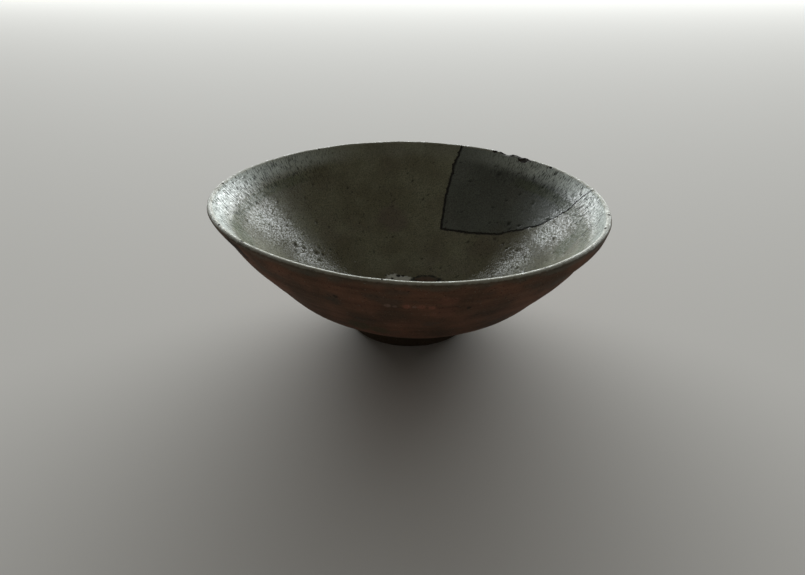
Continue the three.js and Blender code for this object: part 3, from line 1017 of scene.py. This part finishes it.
def make_mark():
    """One ragged mark round a middle."""
    tree, given = start_tree("mark", [
        ("Place", "Vector"), ("Middle", "Vector"), ("Radius", "Float"), ("Ragged", "Float"),
    ], ("Mask", "Float"), "ShaderNodeTree")
    away = add(tree, "ShaderNodeVectorMath", {0: given["Place"], 1: given["Middle"]}, operation="DISTANCE")
    share = calculate(tree, "DIVIDE", away.outputs["Value"], given["Radius"])
    lumps = calculate(tree, "DIVIDE", LUMPS_PER_MARK_RADIUS, given["Radius"])
    cloud = noise_at(tree, scale_vector(tree, given["Place"], lumps), 1.0, 3.0, detail=3.0)
    share = calculate(tree, "MULTIPLY_ADD", cloud, given["Ragged"], share)
    add(tree, "NodeGroupOutput", {0: between(tree, share, 1.0, MARK_FULL)})
    return tree


def make_edge_band():
    """A band along an edge, full at the edge and ragged where it ends."""
    tree, given = start_tree("edge_band", [
        ("Place", "Vector"), ("Distance", "Float"), ("Reach", "Float"), ("Ragged", "Float"),
        ("Size", "Float"),
    ], ("Mask", "Float"), "ShaderNodeTree")
    cloud = noise_at(tree, given["Place"], given["Size"], 5.0, detail=3.0)
    share = calculate(tree, "DIVIDE", given["Distance"], given["Reach"])
    share = calculate(tree, "MULTIPLY_ADD", cloud, given["Ragged"], share)
    add(tree, "NodeGroupOutput", {0: between(tree, share, 1.0, BAND_FULL)})
    return tree


def make_grain():
    """Fine relief in millimetres."""
    tree, given = start_tree("grain", [
        ("Place", "Vector"), ("Size", "Float"), ("Depth", "Float"), ("Seed", "Float"),
    ], ("Height", "Float"), "ShaderNodeTree")
    cloud = noise_at(tree, given["Place"], given["Size"], given["Seed"], detail=4.0)
    add(tree, "NodeGroupOutput", {0: calculate(tree, "MULTIPLY", cloud, given["Depth"])})
    return tree


mark, edge_band, grain = make_mark(), make_edge_band(), make_grain()
print(mark.name, edge_band.name, "and", grain.name, "are ready")

# %% [markdown]
# ## The ash glaze and the bare clay
# Inside, a thin ash glaze lies over the clay: grey-green where it is thicker, olive and pinkish where it is
# thin. At the two sides, where the window's light falls on the glaze, a pale band of painted light lies
# under the lip, with a darker olive strip of painted shade below it. The glaze ran down the wall in short
# dark streaks before it set.
# Outside, the glaze stops in a ragged edge just under the lip, and the bare clay fired pinkish brown over the
# rings that the trimming tool left. The colours are laid over one another in layers, and a thin clear skin
# that breaks up into glints gives the glaze its sheen. One function paints both pieces, because the bowl and
# the sherd are the same pot. The sherd only lay somewhere else for years and came out greyer.

# %% The colours of the pot
DARK_STREAK = (0.018, 0.020, 0.016, 1)
# Painted light: the paler band under the lip, at the two sides where the window's light falls
PAINTED_LIGHT_BAND = (0.660, 0.710, 0.660, 1)
PALE_LIP = (0.420, 0.400, 0.325, 1)
PALE_SPECK = (0.400, 0.390, 0.320, 1)
# Moss patches, and the colour of the painted shade in the strip under the lit band
MOSS_AND_SHADE = (0.105, 0.120, 0.045, 1)
BARE_PINK = (0.190, 0.145, 0.115, 1)
WHITE_CRUST = (0.74, 0.75, 0.70, 1)
BROWN_SCAR = (0.130, 0.080, 0.052, 1)
SCAR_RIM = (0.020, 0.017, 0.012, 1)
CLAY_PINK, CLAY_BROWN = (0.176, 0.084, 0.050, 1), (0.093, 0.054, 0.033, 1)
CLAY_RED = (0.270, 0.110, 0.072, 1)
PALE_PINK = (0.260, 0.160, 0.120, 1)
CLAY_GREY = (0.080, 0.062, 0.044, 1)
CLAY_OLIVE = (0.085, 0.068, 0.036, 1)
FOOT_BROWN = (0.055, 0.040, 0.026, 1)
LIP_GREEN = (0.082, 0.074, 0.050, 1)
GRIME = (0.016, 0.014, 0.011, 1)
SKY_TINT = (0.80, 0.96, 1, 1)
print("the colours are mixed")

# %% Kinds of specks and edges


def speck_kind(width, length, threshold, softness, seed):
    """The settings of one kind of speck, patch or streak."""
    return {"width": width, "length": length, "threshold": threshold, "softness": softness, "seed": seed}


def edge_kind(reach, ragged, size):
    """The settings of one kind of band along an edge."""
    return {"reach": reach, "ragged": ragged, "size": size}


PINK_PATCHES = speck_kind(26 * MM, 26 * MM, 0.02, 0.14, 2.0)
FLOW_STREAKS = speck_kind(0.34 * MM, 2.4 * MM, 0.0, 0.12, 5.0)
PINHOLES = speck_kind(0.75 * MM, 0.75 * MM, 0.07, 0.07, 6.0)
PALE_GRAINS = speck_kind(0.6 * MM, 0.6 * MM, 0.15, 0.05, 7.0)
PORES = speck_kind(0.5 * MM, 0.5 * MM, 0.02, 0.1, 9.0)
GREY_PATCHES = speck_kind(15 * MM, 7 * MM, 0.04, 0.12, 13.0)
DARK_SPOTS = speck_kind(1.1 * MM, 0.7 * MM, 0.13, 0.05, 14.0)
PALE_SPOTS = speck_kind(0.7 * MM, 0.5 * MM, 0.16, 0.04, 15.0)
GRIT = speck_kind(0.35 * MM, 0.35 * MM, 0.12, 0.05, 32.0)

# The band of painted light under the lip, and the strip of painted shade below it
LIT_BAND_EDGE = edge_kind(11.5 * MM, 0.25, 6 * MM)
SHADE_STRIP_EDGE = edge_kind(3.4 * MM, 0.6, 7 * MM)
GLAZE_EDGE = edge_kind(4.5 * MM, 1.6, 9 * MM)
LOW_WALL_EDGE = edge_kind(21 * MM, 0.7, 14 * MM)
FOOT_EDGE = edge_kind(9 * MM, 0.5, 5 * MM)
LIP_LINE_EDGE = edge_kind(1.7 * MM, 0.8, 1.6 * MM)
CRACK_DIRT_EDGE = edge_kind(1.1 * MM, 0.9, 1.2 * MM)
print("kinds of specks and edges are named")

# %% Marks that can be seen one by one
# Azimuth in degrees, share of the way up the wall, radius, colour and how much it covers
INSIDE_MARKS = [
    (352, 0.72, 9 * MM, MOSS_AND_SHADE, 0.75), (12, 0.62, 7 * MM, MOSS_AND_SHADE, 0.5), (196, 0.80, 9 * MM, MOSS_AND_SHADE, 0.7),
    (172, 0.72, 7 * MM, MOSS_AND_SHADE, 0.35), (100, 0.42, 10 * MM, BARE_PINK, 0.6),
    (141, 0.141, 0.7 * MM, PALE_SPECK, 0.9), (150, 0.30, 1.0 * MM, DARK_STREAK, 0.6),
]
SHERD_MARKS = [(53, 0.851, 2.2 * MM, DARK_STREAK, 0.4)]
OUTSIDE_MARKS = [
    (262.8, 0.855, 1.5 * MM, PALE_PINK, 0.6), (264.6, 0.852, 1.0 * MM, PALE_PINK, 0.5),
    (267.5, 0.855, 1.9 * MM, CLAY_RED, 0.8), (269.4, 0.856, 1.2 * MM, PALE_PINK, 0.6),
    (271, 0.858, 1.8 * MM, CLAY_RED, 0.7), (273.6, 0.853, 1.5 * MM, CLAY_RED, 0.8),
    (282.9, 0.838, 1.2 * MM, SCAR_RIM, 0.6), (249.7, 0.86, 1.2 * MM, SCAR_RIM, 0.7),
    (277, 0.80, 6 * MM, CLAY_RED, 0.3), (277, 0.907, 4 * MM, CLAY_RED, 0.3),
    (251, 0.52, 6 * MM, CLAY_OLIVE, 0.8), (258, 0.50, 5 * MM, CLAY_OLIVE, 0.7),
    (218, 0.94, 7 * MM, GRIME, 0.8), (150, 0.70, 8 * MM, CLAY_OLIVE, 0.6),
    (75, 0.60, 9 * MM, CLAY_OLIVE, 0.6), (20, 0.55, 7 * MM, CLAY_GREY, 0.6),
]
MARK_RAGGED = 1.2


def add_marks(tree, color, place, marks, side):
    for azimuth, share, radius, paint, cover in marks:
        middle = tuple(on_wall(azimuth, share, side)[0])
        mask = use(tree, mark, place=place, middle=middle, radius=radius, ragged=MARK_RAGGED)
        color = blend(tree, color, paint, times(tree, mask, cover))
    return color


print(len(INSIDE_MARKS), "marks inside and", len(OUTSIDE_MARKS), "outside")

# %% Layers of colour


def paint_over(tree, color, layers):
    """Paints over a colour in layers, each a colour, a mask and how much it covers."""
    for paint, mask, cover in layers:
        color = blend(tree, color, paint, times(tree, mask, cover))
    return color


def grained(tree, color, place, size, seed, contrast):
    """A colour made lighter and darker by fine noise, and that noise."""
    fine = noise_at(tree, place, size, seed, detail=3.0)
    return scale_vector(tree, color, calculate(tree, "MULTIPLY_ADD", fine, contrast, 1.0)), fine


def without(tree, mask):
    return calculate(tree, "SUBTRACT", 1.0, mask)


print("colours can be laid over one another")

# %% The ground of the glaze, its band of painted light and its strip of painted shade
GLAZE_PATCH_SIZE = 17 * MM
# What shows by the lip is faint up to one share of WALL_RADIUS to the side, and full from another on
FAINT_WITHIN, FULL_BEYOND, FAINT = 0.32, 0.82, 0.12
# How far past the lip the middle of the strip of painted shade lies
SHADE_STRIP_BELOW_LIP = 13.5 * MM


def glaze_ground(tree, place, look):
    """The glaze's own colour, with bare pink patches, fine grain and single marks."""
    color = use(tree, mottle, place=place, size=GLAZE_PATCH_SIZE, seed=1.0, first=look["thick"],
                second=look["thin"])
    pink = use(tree, specks, place=place, **PINK_PATCHES)
    color = blend(tree, color, BARE_PINK, times(tree, pink, look["pink"]))
    color, _ = grained(tree, color, place, size=0.7 * MM, seed=4.0, contrast=1.3)
    return add_marks(tree, color, place, look["marks"], inner_at)


def share_at_sides(tree, wall):
    """Faint in the middle of the bowl and 1 at its two sides, which the window's light reaches."""
    aside = calculate(tree, "ABSOLUTE", add(tree, "ShaderNodeSeparateXYZ", {0: wall}).outputs[0])
    return between(tree, aside, FAINT_WITHIN * WALL_RADIUS, FULL_BEYOND * WALL_RADIUS, FAINT, 1.0)


def lit_band_and_shade_strip(tree, color, place, past_lip, at_sides):
    """A band of painted light under the lip, a strip of painted shade below it, and the strip's mask."""
    band = use(tree, edge_band, place=place, distance=past_lip, **LIT_BAND_EDGE)
    # Painted light: the band under the lip is made paler at the sides, where the window's light falls
    color = blend(tree, color, PAINTED_LIGHT_BAND, times(tree, band, at_sides, 0.9))
    # Painted shade: a darker olive strip below the lit band, only at the two sides
    under_band = calculate(tree, "ABSOLUTE", calculate(tree, "SUBTRACT", past_lip, SHADE_STRIP_BELOW_LIP))
    strip = use(tree, edge_band, place=place, distance=under_band, **SHADE_STRIP_EDGE)
    strip = times(tree, strip, between(tree, at_sides, 0.85, 1.0), 0.5)
    return blend(tree, color, MOSS_AND_SHADE, strip), strip


print("the ground of the glaze is ready")

# %% Streaks, specks and scars of the glaze
STREAKS_END, STREAKS_FULL = 26 * MM, 9 * MM
STREAK_COVER = 0.85


def streaks_and_specks(tree, color, place, wall, past_lip, at_sides, look):
    """Dark streaks near the lip, specks and pores all over. Also gives the holes and the pores as masks."""
    high = between(tree, past_lip, STREAKS_END, STREAKS_FULL)
    streak = times(tree, use(tree, specks, place=wall, **FLOW_STREAKS), at_sides, high)
    speck = use(tree, specks, place=place, **PINHOLES)
    speck = times(tree, speck, between(tree, high, 0, 1, 0.8, 0.25))
    pale = use(tree, specks, place=place, **PALE_GRAINS)
    pores = use(tree, specks, place=place, **PORES)
    pit = attribute(tree, "pit")
    color = paint_over(tree, color, [
        (PALE_SPECK, pale, 0.35), (DARK_STREAK, streak, STREAK_COVER), (DARK_STREAK, speck, look["specks"]),
        (DARK_STREAK, pores, 0.3), (GRIME, pit, 0.8),
    ])
    holes = calculate(tree, "MAXIMUM", streak, calculate(tree, "MAXIMUM", speck, pit))
    return color, holes, pores


def stacking_scars(tree, color):
    for paint, name in ((WHITE_CRUST, "crust"), (BROWN_SCAR, "scar"), (SCAR_RIM, "scar_edge")):
        color = blend(tree, color, paint, attribute(tree, name))
    return color


print("streaks, specks and scars are ready")

# %% Gloss of the glaze
DULL_PATCH_SIZE, DULL_CONTRAST, GLINT_SIZE, GLINT_SOFTNESS = 9 * MM, 0.32, 0.75 * MM, 0.14
DULL_ROUGHNESS, HOLE_ROUGHNESS = 0.62, 0.9
# Past the top of the lip, where the clear skin begins and where it is whole
SHINE_BEGINS, SHINE_FULL = 1.2 * MM, 3 * MM


def glaze_gloss(tree, place, past_lip, holes, pores, strip, look):
    """Roughness, and how much of a clear skin lies on the glaze. Both break up into fine glints."""
    dull = noise_at(tree, place, DULL_PATCH_SIZE, 8.0, detail=3.0)
    rough = calculate(tree, "MULTIPLY_ADD", dull, DULL_CONTRAST, look["gloss"])
    glint = noise_at(tree, place, GLINT_SIZE, 41.0, detail=3.0)
    glint = between(tree, glint, -GLINT_SOFTNESS, GLINT_SOFTNESS)
    rough = between(tree, glint, 0, 1, DULL_ROUGHNESS, rough, smooth=False)
    broken = calculate(tree, "MAXIMUM", holes, times(tree, pores, 0.8))
    rough = between(tree, broken, 0, 1, rough, HOLE_ROUGHNESS)
    off_lip = between(tree, past_lip, SHINE_BEGINS, SHINE_FULL)
    return rough, times(tree, glint, off_lip, without(tree, holes), without(tree, strip))


def glaze_inside(tree, place, past_lip, look):
    """Colour, roughness, holes and clear skin of the glaze inside the wall and over the lip."""
    wall = attribute(tree, "wall_place", "Vector")
    at_sides = share_at_sides(tree, wall)
    color = glaze_ground(tree, place, look)
    color, strip = lit_band_and_shade_strip(tree, color, place, past_lip, at_sides)
    color, holes, pores = streaks_and_specks(tree, color, place, wall, past_lip, at_sides, look)
    color = stacking_scars(tree, color)
    rough, shine = glaze_gloss(tree, place, past_lip, holes, pores, strip, look)
    return color, rough, holes, shine


print("the glaze is ready")

# %% Bare clay on the outside
CLAY_PATCH_SIZE = 15 * MM
TRIMMING_RING, RING_CONTRAST = (90 * MM, 90 * MM, 2.6 * MM), 1.1
CLAY_ROUGHNESS, EDGE_ROUGHNESS = 1.0, 0.75


def clay_outside(tree, place, past_lip):
    """Colour and roughness of the bare clay, with the glaze's edge under the lip and a darker foot."""
    color = use(tree, mottle, place=place, size=CLAY_PATCH_SIZE, seed=11.0, first=CLAY_PINK,
                second=CLAY_BROWN)
    rings = noise_at(tree, place, TRIMMING_RING, 12.0, detail=3.0)
    color = scale_vector(tree, color, calculate(tree, "MULTIPLY_ADD", rings, RING_CONTRAST, 1.0))
    grey = use(tree, specks, place=place, **GREY_PATCHES)
    color = blend(tree, color, CLAY_GREY, times(tree, grey, 0.6))
    color = add_marks(tree, color, place, OUTSIDE_MARKS, outer_at)
    under_lip = calculate(tree, "MULTIPLY", past_lip, -1.0)
    height = add(tree, "ShaderNodeSeparateXYZ", {0: place}).outputs[2]
    glazed = use(tree, edge_band, place=place, distance=under_lip, **GLAZE_EDGE)
    low = use(tree, edge_band, place=place, distance=height, **LOW_WALL_EDGE)
    foot = use(tree, edge_band, place=place, distance=height, **FOOT_EDGE)
    dark = use(tree, specks, place=place, **DARK_SPOTS)
    pale = use(tree, specks, place=place, **PALE_SPOTS)
    color = paint_over(tree, color, [
        (LIP_GREEN, glazed, 0.6), (CLAY_OLIVE, low, 0.55), (FOOT_BROWN, foot, 0.85), (GRIME, dark, 0.6),
        (PALE_SPECK, pale, 0.3),
    ])
    color, _ = grained(tree, color, place, size=0.6 * MM, seed=16.0, contrast=0.7)
    return color, between(tree, glazed, 0, 1, CLAY_ROUGHNESS, EDGE_ROUGHNESS)


print("the bare clay is ready")

# %% From a colour to a finish


def start_finish(material):
    material.use_nodes = True
    tree = material.node_tree
    tree.nodes.clear()
    shader = add(tree, "ShaderNodeBsdfPrincipled")
    add(tree, "ShaderNodeOutputMaterial", {"Surface": shader.outputs[0]})
    return tree, shader, add(tree, "ShaderNodeTexCoord").outputs["Object"]


def finish_with(tree, shader, color, rough, height):
    """Joins the colour, the roughness and a relief in millimetres to the shader."""
    bump = add(tree, "ShaderNodeBump", {"Strength": 1.0, "Distance": MM, "Height": height}).outputs[0]
    for title, value in (("Base Color", color), ("Roughness", rough), ("Normal", bump)):
        tree.links.new(value, shader.inputs[title])


print("a finish can be joined to its shader")

# %% The pot's finish
# Where the glaze ends outside, measured past the top of the lip, how far that line wanders and in what waves
GLAZE_NONE, GLAZE_FULL, GLAZE_WANDERS, WANDER_SIZE = -1.7 * MM, -0.7 * MM, 1.5 * MM, 2.5 * MM
# Depths are in millimetres, as the relief is
COARSE_GRAIN = {"size": 1.6 * MM, "depth": 0.07, "seed": 22.0}
FINE_GRAIN = {"size": 0.5 * MM, "depth": 0.016, "seed": 23.0}
HOLE_DEPTH = 0.05
POT_SHINE = {"Coat Roughness": 0.27, "Specular IOR Level": 0.28, "Specular Tint": SKY_TINT}


def lip_and_crack(tree, color, place, past_lip):
    """The pale line along the top of the lip, and the dirt along the crack."""
    from_lip = calculate(tree, "ABSOLUTE", past_lip)
    near_lip = use(tree, edge_band, place=place, distance=from_lip, **LIP_LINE_EDGE)
    dirty = use(tree, edge_band, place=place, distance=attribute(tree, "from_break"), **CRACK_DIRT_EDGE)
    return paint_over(tree, color, [(PALE_LIP, near_lip, 0.8), (GRIME, dirty, 0.5)])


def paint_pot(material, look):
    tree, shader, place = start_finish(material)
    past_lip = attribute(tree, "past_lip")
    inner, inner_rough, holes, shine = glaze_inside(tree, place, past_lip, look)
    outer, outer_rough = clay_outside(tree, place, past_lip)
    wandering = noise_at(tree, place, WANDER_SIZE, 21.0)
    over_lip = calculate(tree, "MULTIPLY_ADD", wandering, GLAZE_WANDERS, past_lip)
    over_lip = between(tree, over_lip, GLAZE_NONE, GLAZE_FULL)
    color = lip_and_crack(tree, blend(tree, outer, inner, over_lip), place, past_lip)
    rough = between(tree, over_lip, 0, 1, outer_rough, inner_rough, smooth=False)
    relief = calculate(tree, "ADD", use(tree, grain, place=place, **COARSE_GRAIN),
                       use(tree, grain, place=place, **FINE_GRAIN))
    sunk = times(tree, holes, over_lip, HOLE_DEPTH)
    finish_with(tree, shader, color, rough, calculate(tree, "SUBTRACT", relief, sunk))
    tree.links.new(times(tree, shine, over_lip), shader.inputs["Coat Weight"])
    for title, value in POT_SHINE.items():
        shader.inputs[title].default_value = value


BOWL_LOOK = {"thick": (0.270, 0.262, 0.175, 1), "thin": (0.190, 0.172, 0.105, 1), "pink": 0.25, "specks": 0.5,
             "gloss": 0.32, "marks": INSIDE_MARKS}
SHERD_LOOK = {"thick": (0.150, 0.160, 0.138, 1), "thin": (0.118, 0.124, 0.102, 1), "pink": 0.1, "specks": 0.3,
              "gloss": 0.34, "marks": SHERD_MARKS}
paint_pot(bowl_glaze, BOWL_LOOK)
paint_pot(sherd_glaze, SHERD_LOOK)
print("the glaze of the bowl has", len(bowl_glaze.node_tree.nodes), "nodes")

# %% [markdown]
# ## Broken clay and old cement
# Where the pot is chipped, the clay shows dark grey-brown. The cement is nearly black,
# gritty and dull. Both are rough all over, so grain does most of the work.

# %% Broken clay and cement
BROKEN_CLAY = {"first": (0.060, 0.048, 0.036, 1), "second": (0.022, 0.018, 0.014, 1), "size": 1.5 * MM}
OLD_CEMENT = {"first": (0.022, 0.019, 0.015, 1), "second": (0.012, 0.010, 0.008, 1), "size": 2.5 * MM}
ROUGH_GRAIN_SIZE = 0.6 * MM


def paint_rough(material, patches, depth, roughness):
    """A dull gritty finish, with its grain as deep as given, in millimetres."""
    tree, shader, place = start_finish(material)
    color = use(tree, mottle, place=place, seed=31.0, **patches)
    color = blend(tree, color, PALE_SPECK, times(tree, use(tree, specks, place=place, **GRIT), 0.25))
    color, fine = grained(tree, color, place, size=0.4 * MM, seed=33.0, contrast=0.8)
    height = use(tree, grain, place=place, size=ROUGH_GRAIN_SIZE, depth=depth, seed=34.0)
    finish_with(tree, shader, color, calculate(tree, "MULTIPLY_ADD", fine, 0.2, roughness), height)


paint_rough(broken_clay, BROKEN_CLAY, 0.25, 0.9)
paint_rough(old_cement, OLD_CEMENT, 0.15, 0.75)
print("broken clay and cement are painted")

# %% [markdown]
# ## Setting the pieces into the frame
# Each finished piece stands for one of the measured solids, so it hides that solid and moves with the same
# body.

# %% The pieces
remove(single_pits)
SHARP_ANGLE = math.radians(38)
PIECES = [
    (bowl_body, "cracked_bowl_body", "bowl_body", "bowl_glaze"),
    (sherd, "mended_sherd", "refitted_sherd", "sherd_glaze"),
    (cement, "cement_line", "join_filler", "join_cement"),
]
for piece, name, node, slot in PIECES:
    piece.name = piece.data.name = name
    piece.data.shade_smooth()
    piece.data.set_sharp_from_angle(angle=SHARP_ANGLE)
    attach(piece, "root")
    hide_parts(node)
    print(name, "stands for", node, "with", len(piece.data.polygons), "faces")

# %% [markdown]
# ## Light, floor and camera
# A plain pale floor runs far past the picture, one large soft light stands behind the bowl as a window would,
# and the camera looks down on the bowl at the angle that the outline was fitted to.

# %% The floor
FLOOR_REACH = 8.0
FLOOR_COLOR, FLOOR_ROUGHNESS = (0.60, 0.575, 0.545, 1), 0.9
floor_material = bpy.data.materials.new("pale_floor")
floor_material.use_nodes = True
floor_shader = floor_material.node_tree.nodes["Principled BSDF"]
floor_shader.inputs["Base Color"].default_value = FLOOR_COLOR
floor_shader.inputs["Roughness"].default_value = FLOOR_ROUGHNESS
corners = [(x * FLOOR_REACH, y * FLOOR_REACH, 0) for x, y in ((-1, -1), (1, -1), (1, 1), (-1, 1))]
floor = show(mesh_from("pale_floor", corners, faces=[(0, 1, 2, 3)]))
floor.data.materials.append(floor_material)
print("the floor is", 2 * FLOOR_REACH, "m across")

# %% The light


def soft_light(name, place, size, power, aim, color):
    data = bpy.data.lights.new(name, "AREA")
    data.shape = "RECTANGLE"
    data.size, data.size_y = size
    data.energy = power
    data.color = color
    light = bpy.data.objects.new(name, data)
    light.location = place
    light.rotation_euler = (Vector(aim) - Vector(place)).to_track_quat("-Z", "Y").to_euler()
    light.visible_camera = False
    bpy.context.scene.collection.objects.link(light)
    return light


# Where the window's edges are, in metres, seen from the camera's side
WINDOW_AWAY = 6.0
WINDOW_LEFT, WINDOW_RIGHT, WINDOW_LOW, WINDOW_HIGH = -4.9, 6.8, 0.03, 4.2
window_size = (WINDOW_RIGHT - WINDOW_LEFT, WINDOW_HIGH - WINDOW_LOW)
window_middle = ((WINDOW_LEFT + WINDOW_RIGHT) / 2, WINDOW_AWAY, (WINDOW_LOW + WINDOW_HIGH) / 2)
WINDOW_WATTS, WINDOW_COLOR = 1150, (0.95, 0.995, 1)
ROOM_STRENGTH, ROOM_COLOR = 0.12, (1, 0.96, 0.88, 1)
straight_ahead = (window_middle[0], 0, window_middle[2])
window = soft_light("window", window_middle, window_size, WINDOW_WATTS, straight_ahead, WINDOW_COLOR)
world = bpy.data.worlds.new("soft_room")
world.use_nodes = True
world.node_tree.nodes["Background"].inputs["Color"].default_value = ROOM_COLOR
world.node_tree.nodes["Background"].inputs["Strength"].default_value = ROOM_STRENGTH
bpy.context.scene.world = world
bpy.context.scene.view_settings.view_transform = "Standard"
print("the window is", [round(side, 1) for side in window_size], "m, with", window.data.energy, "W")

# %% The camera
CAMERA_PLACE = (-3.54 * MM, -244.0 * MM, 146.5 * MM)
CAMERA_LOOKS_DOWN_DEGREES = 28.44
CAMERA_LENS, SENSOR_WIDTH = 26.83, 36
camera = bpy.data.objects.new("camera", bpy.data.cameras.new("camera"))
camera.data.sensor_width = SENSOR_WIDTH
camera.data.lens = CAMERA_LENS
camera.data.clip_start = 10 * MM
camera.location = CAMERA_PLACE
camera.rotation_euler = (math.radians(90 - CAMERA_LOOKS_DOWN_DEGREES), 0, 0)
bpy.context.scene.collection.objects.link(camera)
bpy.context.scene.camera = camera
print("the camera stands", round(Vector(CAMERA_PLACE).length * 1000), "mm from the foot")
